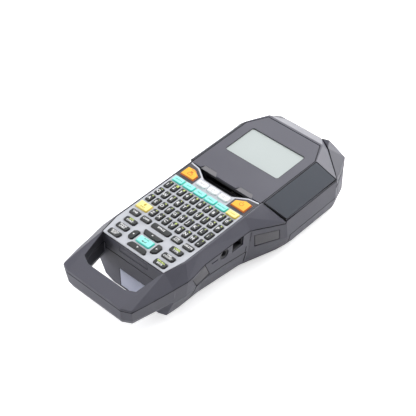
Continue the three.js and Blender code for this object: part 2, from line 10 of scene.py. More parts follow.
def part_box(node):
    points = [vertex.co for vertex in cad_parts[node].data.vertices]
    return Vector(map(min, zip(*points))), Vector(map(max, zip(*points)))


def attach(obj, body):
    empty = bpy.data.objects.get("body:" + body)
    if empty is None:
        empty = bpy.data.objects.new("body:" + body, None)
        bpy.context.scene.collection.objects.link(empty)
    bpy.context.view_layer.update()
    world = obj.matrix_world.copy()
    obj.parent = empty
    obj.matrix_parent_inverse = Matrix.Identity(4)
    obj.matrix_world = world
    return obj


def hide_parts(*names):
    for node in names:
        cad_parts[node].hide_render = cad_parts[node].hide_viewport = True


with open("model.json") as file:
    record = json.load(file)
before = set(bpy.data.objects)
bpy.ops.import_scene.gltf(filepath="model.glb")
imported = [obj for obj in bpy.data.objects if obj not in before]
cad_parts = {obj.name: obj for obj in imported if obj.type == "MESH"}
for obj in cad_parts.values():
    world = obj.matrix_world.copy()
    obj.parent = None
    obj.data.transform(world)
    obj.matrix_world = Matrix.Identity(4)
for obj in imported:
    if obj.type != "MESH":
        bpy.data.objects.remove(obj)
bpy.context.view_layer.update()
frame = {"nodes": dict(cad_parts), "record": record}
nodes = frame["nodes"]
bodyOfNode = {node: body for body, members in frame["record"]["behaviour"]["bodies"].items()
              for node in members}
slotOfNode = {part["node"]: part["material_slot"] for part in frame["record"]["subparts"]}
mm = 0.001
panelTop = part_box("keypad_overlay")[1].z      # plane of the keypad film and the display panel
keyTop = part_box("enter_key")[1].z
print("frame loaded:", len(nodes), "nodes")


# camera, floor and light
view = dict(azimuth=42.79, elevation=43.69, roll=-0.296, lens=103.85, place=(0.59036, -0.63411, 0.88590))
studio = dict(
    floorSize=12, floorDrop=0.0002, floorColour=(0.90, 0.90, 0.91), floorGlow=0.05, floorSeen=0.62,
    worldColour=(1, 1, 1), worldSeen=1.2, fadeFrom=(0.15, 0.5), fadeTo=(0.06, 0.05),
    lamps=[
        # name, place, aimed at, size, watts
        ("topSoftbox", (-0.4, 0.3, 1.6), (0, 0, 0.05), 1.4, 6.5),
        ("rearSoftbox", (0.5, 1.6, 0.45), (0, 0, 0.05), 1.2, 16),
        ("highRearSoftbox", (0.35, 1.15, 1.3), (0, 0, 0.05), 1.4, 28),
        ("lowRearSoftbox", (-0.8, 1.4, 0.3), (0, 0, 0.05), 0.9, 14),
        ("frontFill", (-1.1, -1.1, 0.6), (0, 0, 0.05), 1.2, 21),
    ])


def makeCamera(settings):
    turn, tilt, roll = (math.radians(settings[word]) for word in ("azimuth", "elevation", "roll"))
    back = Vector((math.sin(turn) * math.cos(tilt), -math.cos(turn) * math.cos(tilt), math.sin(tilt)))
    level = Vector((math.cos(turn), math.sin(turn), 0))
    upright = back.cross(level)
    right = math.cos(roll) * level + math.sin(roll) * upright
    up = math.cos(roll) * upright - math.sin(roll) * level
    camera = bpy.data.cameras.new("camera")
    camera.lens = settings["lens"]
    holder = bpy.data.objects.new("camera", camera)
    bpy.context.scene.collection.objects.link(holder)
    turned = Matrix((right, up, back)).transposed().to_4x4()
    holder.matrix_world = Matrix.Translation(settings["place"]) @ turned
    bpy.context.scene.camera = holder


def makeLamp(name, place, target, size, watts):
    lamp = bpy.data.lights.new(name, "AREA")
    lamp.size = size
    lamp.energy = watts
    holder = bpy.data.objects.new(name, lamp)
    bpy.context.scene.collection.objects.link(holder)
    holder.location = place
    holder.rotation_euler = (Vector(target) - Vector(place)).to_track_quat("-Z", "Y").to_euler()


def makeWorld(settings):
    # a white room that is bright near the horizon and dim overhead, and plain white to the camera
    world = bpy.data.worlds.new("studioWorld")
    world.use_nodes = True
    tree = world.node_tree
    tree.nodes.clear()
    seen = tree.nodes.new("ShaderNodeBackground")
    seen.inputs["Color"].default_value = (1, 1, 1, 1)
    seen.inputs["Strength"].default_value = settings["worldSeen"]
    lit = tree.nodes.new("ShaderNodeBackground")
    lit.inputs["Color"].default_value = (*settings["worldColour"], 1)
    place = tree.nodes.new("ShaderNodeTexCoord")
    split = tree.nodes.new("ShaderNodeSeparateXYZ")
    fade = tree.nodes.new("ShaderNodeMapRange")
    fade.inputs["From Min"].default_value, fade.inputs["From Max"].default_value = settings["fadeFrom"]
    fade.inputs["To Min"].default_value, fade.inputs["To Max"].default_value = settings["fadeTo"]
    tree.links.new(place.outputs["Generated"], split.inputs[0])
    tree.links.new(split.outputs["Z"], fade.inputs["Value"])
    tree.links.new(fade.outputs[0], lit.inputs["Strength"])
    path = tree.nodes.new("ShaderNodeLightPath")
    mix = tree.nodes.new("ShaderNodeMixShader")
    output = tree.nodes.new("ShaderNodeOutputWorld")
    tree.links.new(path.outputs["Is Camera Ray"], mix.inputs["Fac"])
    tree.links.new(lit.outputs[0], mix.inputs[1])
    tree.links.new(seen.outputs[0], mix.inputs[2])
    tree.links.new(mix.outputs[0], output.inputs["Surface"])
    bpy.context.scene.world = world


makeCamera(view)
makeWorld(studio)
for lampSettings in studio["lamps"]:
    makeLamp(*lampSettings)
bpy.context.scene.view_settings.view_transform = "Standard"
print("camera and lights made")


# materials
def groupSocket(tree, name, way, kind, value=None):
    socket = tree.interface.new_socket(name=name, in_out=way, socket_type=kind)
    if value is not None:
        socket.default_value = value


def makeSkinGroup():
    # moulded or printed skin: cloudy tone, uneven gloss and a fine grain, all in object coordinates
    tree = bpy.data.node_groups.new("mouldedSkin", "ShaderNodeTree")
    groupSocket(tree, "Colour", "INPUT", "NodeSocketColor", (0.5, 0.5, 0.5, 1))
    groupSocket(tree, "Cloud", "INPUT", "NodeSocketFloat", 0.06)
    groupSocket(tree, "CloudScale", "INPUT", "NodeSocketFloat", 40)
    groupSocket(tree, "Roughness", "INPUT", "NodeSocketFloat", 0.5)
    groupSocket(tree, "Spread", "INPUT", "NodeSocketFloat", 0.1)
    groupSocket(tree, "GrainScale", "INPUT", "NodeSocketFloat", 2500)
    groupSocket(tree, "Colour", "OUTPUT", "NodeSocketColor")
    groupSocket(tree, "Roughness", "OUTPUT", "NodeSocketFloat")
    groupSocket(tree, "Height", "OUTPUT", "NodeSocketFloat")
    make, link = tree.nodes.new, tree.links.new
    given, result = make("NodeGroupInput"), make("NodeGroupOutput")
    place = make("ShaderNodeTexCoord")
    cloud, grain = make("ShaderNodeTexNoise"), make("ShaderNodeTexNoise")
    cloud.inputs["Detail"].default_value = 4
    grain.inputs["Detail"].default_value = 3
    for noise, scale in ((cloud, "CloudScale"), (grain, "GrainScale")):
        link(place.outputs["Object"], noise.inputs["Vector"])
        link(given.outputs[scale], noise.inputs["Scale"])
    centred = make("ShaderNodeMath")
    centred.operation = "SUBTRACT"
    centred.inputs[1].default_value = 0.5
    link(cloud.outputs["Fac"], centred.inputs[0])
    tone = make("ShaderNodeMath")
    tone.operation = "MULTIPLY_ADD"
    tone.inputs[2].default_value = 1
    link(centred.outputs[0], tone.inputs[0])
    link(given.outputs["Cloud"], tone.inputs[1])
    tint = make("ShaderNodeVectorMath")
    tint.operation = "SCALE"
    link(given.outputs["Colour"], tint.inputs[0])
    link(tone.outputs[0], tint.inputs["Scale"])
    link(tint.outputs[0], result.inputs["Colour"])
    gloss = make("ShaderNodeMath")
    gloss.operation = "MULTIPLY_ADD"
    link(centred.outputs[0], gloss.inputs[0])
    link(given.outputs["Spread"], gloss.inputs[1])
    link(given.outputs["Roughness"], gloss.inputs[2])
    link(gloss.outputs[0], result.inputs["Roughness"])
    link(grain.outputs["Fac"], result.inputs["Height"])
    return tree


skinGroup = makeSkinGroup()


def makeMaterial(name, colour, roughness=0.5, cloud=0.1, cloudScale=45, spread=0.12, grain=2600, depth=0.03,
                 metal=0.0, coat=0.0, coatRoughness=0.1, specular=0.5):
    material = bpy.data.materials.new(name)
    material.use_nodes = True
    tree = material.node_tree
    shader = tree.nodes["Principled BSDF"]
    shader.inputs["Emission Color"].default_value = (1, 1, 1, 1)
    skin = tree.nodes.new("ShaderNodeGroup")
    skin.node_tree = skinGroup
    skin.inputs["Colour"].default_value = (*colour, 1)
    for word, value in (("Cloud", cloud), ("CloudScale", cloudScale), ("Roughness", roughness),
                        ("Spread", spread), ("GrainScale", grain)):
        skin.inputs[word].default_value = value
    bump = tree.nodes.new("ShaderNodeBump")
    bump.inputs["Strength"].default_value = 1
    bump.inputs["Distance"].default_value = depth * mm
    tree.links.new(skin.outputs["Colour"], shader.inputs["Base Color"])
    tree.links.new(skin.outputs["Roughness"], shader.inputs["Roughness"])
    tree.links.new(skin.outputs["Height"], bump.inputs["Height"])
    tree.links.new(bump.outputs["Normal"], shader.inputs["Normal"])
    shader.inputs["Metallic"].default_value = metal
    shader.inputs["Coat Weight"].default_value = coat
    shader.inputs["Coat Roughness"].default_value = coatRoughness
    shader.inputs["Specular IOR Level"].default_value = specular
    return material


looks = {
    "casing": makeMaterial("casingPlastic", (0.105, 0.105, 0.132), 0.40, depth=0.05, grain=2200),
    # painted shade: a dark colour for the shadow along the seams and on the floors of the hand recesses
    "seam": makeMaterial("shadedSeam", (0.016, 0.015, 0.022), 0.7, depth=0.02),
    "fascia": makeMaterial("fasciaPlastic", (0.112, 0.112, 0.138), 0.40, depth=0.02),
    # painted shade for the inner walls of the handle's arms
    "loop": makeMaterial("loopInside", (0.034, 0.034, 0.042), 0.35, depth=0.03, grain=2200),
    # painted highlight: a lighter colour on the finger scoops for the light they catch
    "scoop": makeMaterial("scoopPaintedHighlight", (0.27, 0.266, 0.285), 0.3, cloud=0.03, depth=0.01),
    "sidePanel": makeMaterial("sidePanelPlastic", (0.060, 0.069, 0.088), 0.5, depth=0.05, grain=2200),
    "overlay": makeMaterial("silverFilm", (0.585, 0.60, 0.65), 0.34, cloud=0.04, depth=0.008, grain=5000),
    "surround": makeMaterial("darkPrint", (0.082, 0.078, 0.088), 0.4, cloud=0.04, depth=0.008, grain=5000),
    "lcd": makeMaterial("displayGlass", (0.575, 0.625, 0.62), 0.16, cloud=0.05, cloudScale=18, depth=0,
                        coat=0.6, coatRoughness=0.05),
    "black": makeMaterial("blackPlastic", (0.040, 0.041, 0.046), 0.42, depth=0.02),
    "plate": makeMaterial("blankPlate", (0.60, 0.63, 0.78), 0.4, cloud=0.05, depth=0.006),
    # each key's top look is a lighter copy of its colour, painted light for the lit top face
    "keyDark": makeMaterial("keyRubber", (0.011, 0.0115, 0.013), 0.46, depth=0.02, grain=3500),
    "keyDarkTopPaintedLight": makeMaterial("keyRubberTopPaintedLight", (0.040, 0.043, 0.045), 0.6, depth=0.02, grain=3500),
    "keyWhite": makeMaterial("whiteKey", (0.86, 0.87, 0.89), 0.5, cloud=0.02, depth=0.01),
    "keyTeal": makeMaterial("tealKey", (0.10, 0.78, 0.66), 0.5, cloud=0.04, depth=0.01),
    "keyTealTopPaintedLight": makeMaterial("tealKeyTopPaintedLight", (0.36, 0.95, 0.87), 0.5, cloud=0.04, depth=0.01),
    "keyYellow": makeMaterial("yellowKey", (0.97, 0.76, 0.16), 0.5, cloud=0.04, depth=0.01),
    "keyYellowTopPaintedLight": makeMaterial("yellowKeyTopPaintedLight", (1.0, 0.90, 0.34), 0.5, cloud=0.04, depth=0.01),
    "keyOrange": makeMaterial("orangeKey", (0.72, 0.155, 0.012), 0.5, cloud=0.05, depth=0.01),
    "keyOrangeTopPaintedLight": makeMaterial("orangeKeyTopPaintedLight", (1.0, 0.55, 0.050), 0.5, cloud=0.05, depth=0.01),
    "whiteInk": makeMaterial("whiteInk", (0.86, 0.86, 0.87), 0.5, cloud=0.02, depth=0),
    "limeInk": makeMaterial("limeInk", (0.70, 0.84, 0.22), 0.5, cloud=0.02, depth=0),
    "greyInk": makeMaterial("greyInk", (0.52, 0.53, 0.55), 0.5, cloud=0.02, depth=0),
    "tealInk": makeMaterial("tealInk", (0.03, 0.36, 0.30), 0.5, cloud=0.02, depth=0),
    "ochreInk": makeMaterial("ochreInk", (0.60, 0.44, 0.03), 0.5, cloud=0.02, depth=0),
    "rustInk": makeMaterial("rustInk", (0.76, 0.19, 0.015), 0.5, cloud=0.02, depth=0),
    "darkInk": makeMaterial("darkInk", (0.012, 0.03, 0.03), 0.5, cloud=0.02, depth=0),
    "grip": makeMaterial("gripRubber", (0.150, 0.147, 0.160), 0.62, depth=0.08, grain=1500),
    "foot": makeMaterial("footRubber", (0.014, 0.014, 0.015), 0.75, depth=0.05, grain=1800),
    "board": makeMaterial("solderMask", (0.012, 0.10, 0.035), 0.35, cloud=0.25, cloudScale=220, depth=0.01),
    "steel": makeMaterial("platedSteel", (0.52, 0.53, 0.55), 0.3, metal=1.0, depth=0.01, grain=4000),
    "blade": makeMaterial("blackenedSteel", (0.030, 0.031, 0.034), 0.5, metal=1.0, depth=0.01, grain=4000),
    "guide": makeMaterial("guidePlastic", (0.080, 0.082, 0.090), 0.42, depth=0.02),
    "nylon": makeMaterial("naturalNylon", (0.74, 0.71, 0.62), 0.5, depth=0.02),
    "paper": makeMaterial("labelTape", (0.84, 0.84, 0.82), 0.6, depth=0.02, grain=900),
    "wrap": makeMaterial("batteryWrap", (0.02, 0.05, 0.14), 0.35, depth=0.01),
    "floor": makeMaterial("studioFloor", studio["floorColour"], 0.9, cloud=0.0, spread=0, depth=0,
                          specular=0.0),
}


def lightFloor(material, glow, seen):
    # the floor glows a little, and a little more to the eye
    tree = material.node_tree
    path = tree.nodes.new("ShaderNodeLightPath")
    level = tree.nodes.new("ShaderNodeMapRange")
    level.inputs["To Min"].default_value = glow
    level.inputs["To Max"].default_value = seen
    tree.links.new(path.outputs["Is Camera Ray"], level.inputs["Value"])
    tree.links.new(level.outputs[0], tree.nodes["Principled BSDF"].inputs["Emission Strength"])


lightFloor(looks["floor"], studio["floorGlow"], studio["floorSeen"])
print("materials made:", len(looks))


# small helpers
def finishPiece(name, mesh, body, materials, replaced=(), smooth=True):
    piece = bpy.data.objects.new(name, mesh)
    bpy.context.scene.collection.objects.link(piece)
    for look in materials:
        mesh.materials.append(looks[look])
    if smooth:
        mesh.shade_smooth()
    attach(piece, body)
    if replaced:
        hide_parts(*replaced)
    return piece


def meshOf(bm, name):
    mesh = bpy.data.meshes.new(name)
    bm.to_mesh(mesh)
    bm.free()
    return mesh


def pushOut(bm, faces, offset, **options):
    # thickens a flat sheet, and gives the corners that moved
    grown = bmesh.ops.extrude_face_region(bm, geom=faces, **options)
    moved = [g for g in grown["geom"] if isinstance(g, bmesh.types.BMVert)]
    bmesh.ops.translate(bm, verts=moved, vec=offset)
    return moved


joining = dict(same=0.002, flat=0.01)      # corners this near are one, edges this short go


def mergedCopy(node):
    # the node's triangles joined at their corners
    bm = bmesh.new()
    bm.from_mesh(nodes[node].data)
    bmesh.ops.remove_doubles(bm, verts=bm.verts, dist=joining["same"] * mm)
    bmesh.ops.dissolve_degenerate(bm, edges=bm.edges, dist=joining["flat"] * mm)
    return bm


def addBevel(piece, width, angle, segments=3):
    bevel = piece.modifiers.new("edges", "BEVEL")
    bevel.width = width * mm
    bevel.segments = segments
    bevel.limit_method = "ANGLE"
    bevel.angle_limit = math.radians(angle)
    bevel.use_clamp_overlap = False
    bevel.harden_normals = True
    bevel.miter_outer = "MITER_SHARP"


# casings and plain parts: CAD shapes with worked edges
shells = {
    "keyboard_casing": dict(look="casing", width=0.5, angle=13, smoothTo=13),
    "head_casing": dict(look="casing", width=0.5, angle=13, flat=True),
    "lower_casing": dict(look="casing", width=0.4, angle=13, flat=True),
    "cassette_lid": dict(look="casing", width=0.4, angle=13, flat=True),
    "battery_cover": dict(look="casing", width=0.8, angle=13, reach=1.15, flat=True),
    "lid_latch": dict(look="black", width=0.3, angle=20),
    "side_panel_left": dict(look="sidePanel", width=0.3, angle=10, flat=True),
    "side_panel_right": dict(look="sidePanel", width=0.3, angle=10, flat=True),
    "display_fascia": dict(look="fascia", width=0.2, angle=8, flat=True),
    "keypad_overlay": dict(look="overlay", width=0.1, angle=40, segments=2, flat=True),
    "exit_guide": dict(look="guide", width=0.3, angle=15, flat=True),
    "lcd_window": dict(look="lcd", width=0.1, angle=30, segments=2, flat=True),
    "lcd_module": dict(look="black", width=0.3, angle=30),
    "rating_plate": dict(look="plate", width=0.08, angle=30, segments=2),
    "main_board": dict(look="board", width=0.1, angle=30, segments=2),
    "battery_pack": dict(look="wrap", width=1.6, angle=30, segments=4),
    "tape_cassette": dict(look="nylon", width=0.4, angle=30),
    "label_spool": dict(look="paper", width=0.25, angle=40),
    "ribbon_spool": dict(look="black", width=0.25, angle=40),
    "platen_roller": dict(look="foot", width=0.12, angle=40, segments=2),
    "idler_gear": dict(look="nylon", width=0.1, angle=40, segments=2),
    "motor_pinion": dict(look="steel", width=0.1, angle=40, segments=2),
    "drive_motor": dict(look="steel", width=0.5, angle=40),
    "print_head": dict(look="steel", width=0.2, angle=30),
    "cutter_blade": dict(look="blade", width=0.05, angle=30, segments=2),
    "usb_socket": dict(look="black", width=0.2, angle=30),
    "dc_jack": dict(look="black", width=0.2, angle=40),
}
# besides the feet, these are painted shade for the seams, the recess floors and the handle's inner walls,
# and a painted highlight on the finger scoops
extraLooks = dict(foot=1, seam=2, scoop=3, loop=4)      # what a shell can carry beside its own look
shellLooks = dict(
    footTop=1.45 * mm,        # faces wholly below this are the feet's
    recessWall=50.5 * mm,     # the side walls stand further out than this
    loopEnd=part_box("rating_plate")[0].y - 1 * mm,      # the handle's arms lie ahead of this
    armWall=-0.6,             # and their inner walls face the middle more than this
    scoopEnd=35 * mm,         # the finger scoops lie ahead of this
    scoopDrop=0.02 * mm,      # this far below the panel
    scoopUp=0.8,              # and face up more than this
    seamReach=0.78,           # faces of a casing's edge this near its neighbour lie in shadow
    stray=0.7,                # a bevel's point further from the wall than this is drawn back
)
recesses = [[(-58.2, 58.4), (-51.2, 40.8), (-71, 39.4), (-78.3, 54.8)],      # y and z of the corners
            [(10.1, 50.2), (40, 41.4), (40.8, 27.8), (11.4, 33)]]
seamPieces = ["keyboard_casing", "head_casing", "lower_casing", "cassette_lid", "battery_cover",
              "side_panel_left", "side_panel_right", "display_fascia"]
seamNeighbours = seamPieces + ["lid_latch", "keypad_overlay", "rating_plate"]


def treeOf(node):
    bm = bmesh.new()
    bm.from_mesh(nodes[node].data)
    tree = BVHTree.FromBMesh(bm)
    bm.free()
    return tree


nodeTrees = {node: treeOf(node) for node in seamNeighbours}


def isSeam(point, node, reach):
    for other, tree in nodeTrees.items():
        if other != node and tree.find_nearest(point, reach * mm)[0] is not None:
            return True
    return False


def drawIn(mesh, node):
    # a bevel can throw a corner point out where shallow edges meet: such points go back to the wall
    for vert in mesh.vertices:
        place, _, _, distance = nodeTrees[node].find_nearest(vert.co)
        if distance > shellLooks["stray"] * mm:
            vert.co = place


def shadeSeams(piece, node, reach):
    # the bevels are worked into the mesh, then the faces along the seams get painted shade, a dark colour
    # for the shadow in the gaps between parts
    graph = bpy.context.evaluated_depsgraph_get()
    worked = bpy.data.meshes.new_from_object(piece.evaluated_get(graph), depsgraph=graph)
    piece.modifiers.clear()
    piece.data = worked
    drawIn(worked, node)
    # painted shade: faces close to a neighbouring part get a dark colour for the shadow in the gap
    for face in worked.polygons:
        if face.material_index == 0 and isSeam(face.center, node, reach):
            face.material_index = extraLooks["seam"]


def inRecess(point):
    # inside a hand recess as seen from the side, and near the outer wall
    if abs(point.x) < shellLooks["recessWall"]:
        return False
    here = Vector((point.y, point.z))
    for corners in recesses:
        places = [Vector((y * mm, z * mm)) for y, z in corners]
        centre = sum(places, Vector((0, 0))) / len(places)
        edges = zip(places, places[1:] + places[:1])
        if all((last - first).cross(centre - first) * (last - first).cross(here - first) > 0
               for first, last in edges):
            return True
    return False


def lookIndex(face, node):
    # the feet, painted shade on the bottom of a hand recess and on the inner walls of the handle's arms,
    # and a painted highlight on the finger scoops; 0 is the shell's own look
    if max(v.co.z for v in face.verts) < shellLooks["footTop"]:
        return extraLooks["foot"]
    middle = face.calc_center_median()
    # painted shade: the bottom of a hand recess gets the dark shadow colour of the seams
    if node == "lower_casing" and inRecess(middle):
        return extraLooks["seam"]
    # painted shade: the inner walls of the handle's arms get a darker colour for the shadow they lie in
    if node in ("lower_casing", "keyboard_casing") and middle.y < shellLooks["loopEnd"]:
        if face.normal.x * math.copysign(1, middle.x) < shellLooks["armWall"]:
            return extraLooks["loop"]
    # painted highlight on the finger scoops
    if node == "display_fascia" and face.normal.z > shellLooks["scoopUp"]:
        if middle.y < shellLooks["scoopEnd"] and middle.z < panelTop - shellLooks["scoopDrop"]:
            return extraLooks["scoop"]
    return 0


for node, settings in shells.items():
    bm = mergedCopy(node)
    bm.normal_update()
    for face in bm.faces:
        face.material_index = lookIndex(face, node)
    piece = finishPiece(node + "_shell", meshOf(bm, node), bodyOfNode[node],
                        [settings["look"], *extraLooks], [node],
                        smooth=not settings.get("flat", False))
    if "smoothTo" in settings:
        piece.data.set_sharp_from_angle(angle=math.radians(settings["smoothTo"]))
    addBevel(piece, settings["width"], settings["angle"], settings.get("segments", 3))
    if node in seamPieces:
        bpy.context.view_layer.update()
        shadeSeams(piece, node, settings.get("reach", shellLooks["seamReach"]))
print("shells made:", len(shells))


# keys: drawn-in caps with soft edges, and a lighter copy of the key's colour on the top face as painted
# light
keyLooks = {"key_dark": ["keyDark", "keyDarkTopPaintedLight"], "key_white": ["keyWhite", "keyWhite"],
            "key_teal": ["keyTeal", "keyTealTopPaintedLight"], "key_yellow": ["keyYellow", "keyYellowTopPaintedLight"],
            "key_orange": ["keyOrange", "keyOrangeTopPaintedLight"]}
keyEdge = dict(width=0.45, angle=25, segments=4, paintedLightBand=0.1)
keyNodes = [node for node, slot in slotOfNode.items() if slot in keyLooks]


def makeKey(node):
    bm = mergedCopy(node)
    for face in bm.faces:
        # painted light: faces at the top of the key get the lighter copy of its colour
        face.material_index = 1 if face.calc_center_median().z > keyTop - keyEdge["paintedLightBand"] * mm else 0
    slot = slotOfNode[node]
    cap = finishPiece(node + "_cap", meshOf(bm, node), bodyOfNode[node], keyLooks[slot], [node])
    addBevel(cap, keyEdge["width"], keyEdge["angle"], keyEdge["segments"])


for node in keyNodes:
    makeKey(node)
print("keys made:", len(keyNodes))


# printed legends
legend = dict(lift=0.015, thick=0.04, resolution=3, join=0.0005, ringSteps=20, wordBold=0.09,
              tintedHeight=2.2, tintedBold=0.04)


def textMesh(words, height, bold):
    curve = bpy.data.curves.new("legend", "FONT")
    curve.body = words
    curve.size = height * mm
    curve.align_x = "CENTER"
    curve.align_y = "CENTER"
    curve.extrude = legend["thick"] * mm / 2
    curve.offset = bold * mm
    curve.resolution_u = legend["resolution"]
    holder = bpy.data.objects.new("legend", curve)
    bpy.context.scene.collection.objects.link(holder)
    bpy.context.view_layer.update()
    mesh = bpy.data.meshes.new_from_object(holder.evaluated_get(bpy.context.evaluated_depsgraph_get()))
    bpy.data.objects.remove(holder)
    bpy.data.curves.remove(curve)
    return mesh


def addText(bm, words, x, y, height, ink, bold):
    mesh = textMesh(words, height, bold)
    mesh.transform(Matrix.Translation((x * mm, y * mm, keyTop + legend["lift"] * mm)))
    before = set(bm.faces)
    bm.from_mesh(mesh)
    for face in bm.faces:
        if face not in before:
            face.material_index = ink
    bpy.data.meshes.remove(mesh)


def addOutline(bm, points, ink):
    # a flat printed shape from a few corner points
    base = keyTop + (legend["lift"] - legend["thick"] / 2) * mm
    corners = [bm.verts.new((x * mm, y * mm, base)) for x, y in points]
    face = bm.faces.new(corners)
    face.normal_update()
    if face.normal.z < 0:
        face.normal_flip()
    face.material_index = ink
    top = pushOut(bm, [face], (0, 0, legend["thick"] * mm))
    bmesh.ops.recalc_face_normals(bm, faces=bm.faces)
    for side in bm.faces:
        if side.material_index != ink and set(side.verts) & set(top):
            side.material_index = ink


def addBar(bm, x, y, wide, high, ink):
    addOutline(bm, [(x - wide / 2, y - high / 2), (x + wide / 2, y - high / 2),
                    (x + wide / 2, y + high / 2), (x - wide / 2, y + high / 2)], ink)


def addRing(bm, x, y, radius, width, ink, sweep, start=0):
    # a round printed line with a gap
    steps = legend["ringSteps"]
    angles = [math.radians(start + sweep * i / steps) for i in range(steps + 1)]
    inner = radius - width
    for first, last in zip(angles, angles[1:]):
        corners = ((first, inner), (first, radius), (last, radius), (last, inner))
        addOutline(bm, [(x + r * math.cos(a), y + r * math.sin(a)) for a, r in corners], ink)


def finishLegends(name, bm, body, inks):
    bmesh.ops.remove_doubles(bm, verts=bm.verts, dist=legend["join"] * mm)
    finishPiece(name, meshOf(bm, name), body, inks, smooth=False)


def centreOf(node):
    low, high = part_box(node)
    return (low.x + high.x) / 2 / mm, (low.y + high.y) / 2 / mm


letterRows = {
    "key_row_numbers": ("1234567890", "!@#$%^&*()"),
    "key_row_q": ("QWERTYUIOP", "~`|\\{}[]<>"),
    "key_row_a": ("ASDFGHJKL;", "+-=/_\"':?."),
    "key_row_z": ("ZXCVBNM,", "^*°#~=-!"),
}
letterKey = dict(wide=6.6, main=dict(size=5.1, x=-0.35, y=-1.1, bold=0.13),
                 alternate=dict(size=3.2, x=1.0, y=3.0, bold=0.11))

for node, (letters, alternates) in letterRows.items():
    low, high = (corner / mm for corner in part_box(node))
    pitch = (high.x - low.x - letterKey["wide"]) / (len(letters) - 1)
    middleY = (low.y + high.y) / 2
    bm = bmesh.new()
    for i, (letter, alternate) in enumerate(zip(letters, alternates)):
        x = low.x + letterKey["wide"] / 2 + i * pitch
        for words, kind, ink in ((letter, "main", 0), (alternate, "alternate", 1)):
            put = letterKey[kind]
            addText(bm, words, x + put["x"], middleY + put["y"], put["size"], ink, bold=put["bold"])
    finishLegends(node + "_legends", bm, bodyOfNode[node], ["whiteInk", "limeInk"])

# words on the wider keys: (words, ink, height, offset y); ink 0 is white, 1 is lime
wordKeys = {
    "edit_key_1": [("TAB", 0, 3.4, 0)],
    "edit_key_2": [("CAPS", 0, 3.2, 0)],
    "space_key": [("SPACE", 0, 3.2, 0)],
    "edit_key_3": [("SYM", 0, 2.9, 1.1), ("ACC", 0, 2.9, -1.4)],
    "edit_key_4": [("DELETE", 0, 3.0, 0)],
    "left_key_1": [("SIZE", 1, 2.9, 1.3), ("FONT", 0, 3.0, -1.3)],
    "left_key_2": [("FRAME", 0, 2.9, 1.2), ("LINES", 0, 2.9, -1.3)],
    "left_key_3": [("ALIGN", 0, 2.9, 1.2), ("EDIT", 0, 2.9, -1.3)],
    "right_key_1": [("LABEL", 1, 2.9, 1.3), ("TYPE", 0, 3.0, -1.3)],
    "right_key_2": [("TIME", 0, 2.9, 1.2), ("COUNT", 0, 2.9, -1.3)],
    "right_key_3": [("RECALL", 1, 2.9, 1.3), ("SAVE", 0, 3.0, -1.3)],
}
for node, lines in wordKeys.items():
    x, y = centreOf(node)
    bm = bmesh.new()
    for words, ink, height, offset in lines:
        addText(bm, words, x, y + offset, height, ink, bold=legend["wordBold"])
    finishLegends(node + "_legends", bm, bodyOfNode[node], ["whiteInk", "limeInk"])

# the pale and coloured keys carry small words in a darker shade of the key
tintedKeys = {
    "function_key_1": ("LENGTH", "tealInk"), "function_key_2": ("COPY", "tealInk"),
    "function_key_3": ("SERIAL", "tealInk"), "function_key_4": ("SYMBOL", "tealInk"),
    "function_key_5": ("BARCODE", "tealInk"), "cancel_key": ("CLEAR", "ochreInk"),
}
for node, (words, ink) in tintedKeys.items():
    x, y = centreOf(node)
    bm = bmesh.new()
    addText(bm, words, x, y, legend["tintedHeight"], 0, bold=legend["tintedBold"])
    finishLegends(node + "_legends", bm, bodyOfNode[node], [ink])


def addArrow(bm, x, y, size, turn, ink=0):
    # a solid triangle; turn 0 points up
    corners = []
    for degrees in (90, 210, 330):
        angle = math.radians(degrees + turn)
        corners.append((x + size * math.cos(angle), y + size * math.sin(angle)))
    addOutline(bm, corners, ink)


def iconFor(node, inks, draw):
    bm = bmesh.new()
    draw(bm, *centreOf(node))
    finishLegends(node + "_legends", bm, bodyOfNode[node], inks)


def drawReturn(bm, x, y):
    addText(bm, "ENTER", x, y + 2.3, 2.1, 0, bold=0.04)
    addBar(bm, x + 0.4, y - 1.4, 3.6, 0.55, 1)
    addBar(bm, x + 1.95, y - 0.5, 0.55, 1.4, 1)
    addArrow(bm, x - 1.9, y - 1.4, 1.25, 90, 1)


def drawPrinter(bm, x, y):
    addText(bm, "PRINT", x, y + 4.4, 2.3, 0, bold=0.04)
    addBar(bm, x, y - 0.3, 5.6, 0.6, 0)
    addBar(bm, x - 2.5, y - 1.6, 0.6, 2.4, 0)
    addBar(bm, x + 2.5, y - 1.6, 0.6, 2.4, 0)
    addBar(bm, x, y - 3.0, 5.6, 0.6, 0)
    addBar(bm, x, y + 1.3, 3.2, 2.0, 0)


def drawPower(bm, x, y):
    addRing(bm, x, y, 2.6, 0.6, 0, start=120, sweep=300)
    addBar(bm, x, y + 2.1, 0.6, 2.4, 0)


def drawShift(bm, x, y):
    addArrow(bm, x, y + 1.9, 1.9, 0)
    addBar(bm, x, y + 0.6, 1.6, 1.4, 0)
    addText(bm, "SHIFT", x, y - 2.4, 2.4, 0, bold=0.05)


def drawBack(bm, x, y):
    addArrow(bm, x - 1.6, y, 1.3, 90)
    addBar(bm, x + 1.2, y, 3.6, 0.6, 0)


def drawLoop(bm, x, y):
    addRing(bm, x, y, 1.8, 0.5, 0, sweep=300)


def drawLines(bm, x, y):
    addBar(bm, x, y + 0.8, 4.2, 0.55, 0)
    addBar(bm, x - 0.6, y - 0.8, 3.0, 0.55, 0)


